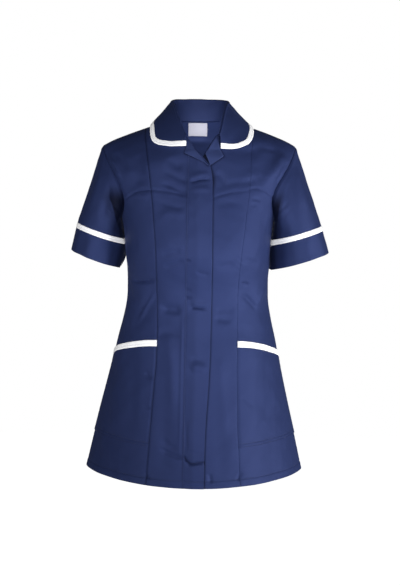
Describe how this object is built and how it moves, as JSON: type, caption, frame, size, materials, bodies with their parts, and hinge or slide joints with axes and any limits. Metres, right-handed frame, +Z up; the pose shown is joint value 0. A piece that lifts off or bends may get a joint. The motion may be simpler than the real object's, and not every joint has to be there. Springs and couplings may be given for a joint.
{
  "type": "work tunic",
  "caption": "Princess-seamed work tunic in navy cloth with a round fold-over collar, a fly front, short cuffed sleeves, patch pockets and white bindings, filled out as when worn.",
  "frame": {"origin": "midway between the high points of the two shoulders, inside the garment, where the wearer's shoulders hold it", "axes": "+Z up along the wearer's height, -Y out of the front, +X to the wearer's left"},
  "size_m": [0.5124, 0.3076, 0.7416],
  "materials": {
    "navy": "matt poly-cotton twill",
    "white": "matt woven binding"
  },
  "bodies": {
    "root": {"back": "navy", "front_centre_right": "navy", "front_centre_left": "navy", "front_side_right": "navy", "front_side_left": "navy", "pocket_right": "navy", "pocket_left": "navy", "pocket_binding_right": "white", "pocket_binding_left": "white", "sleeve_right": "navy", "sleeve_left": "navy", "sleeve_binding_right": "white", "sleeve_binding_left": "white", "cuff_right": "navy", "cuff_left": "navy", "collar": "navy", "collar_binding": "white", "revers_right": "navy", "revers_left": "navy", "neck_label": "white"}
  },
  "joints": []
}
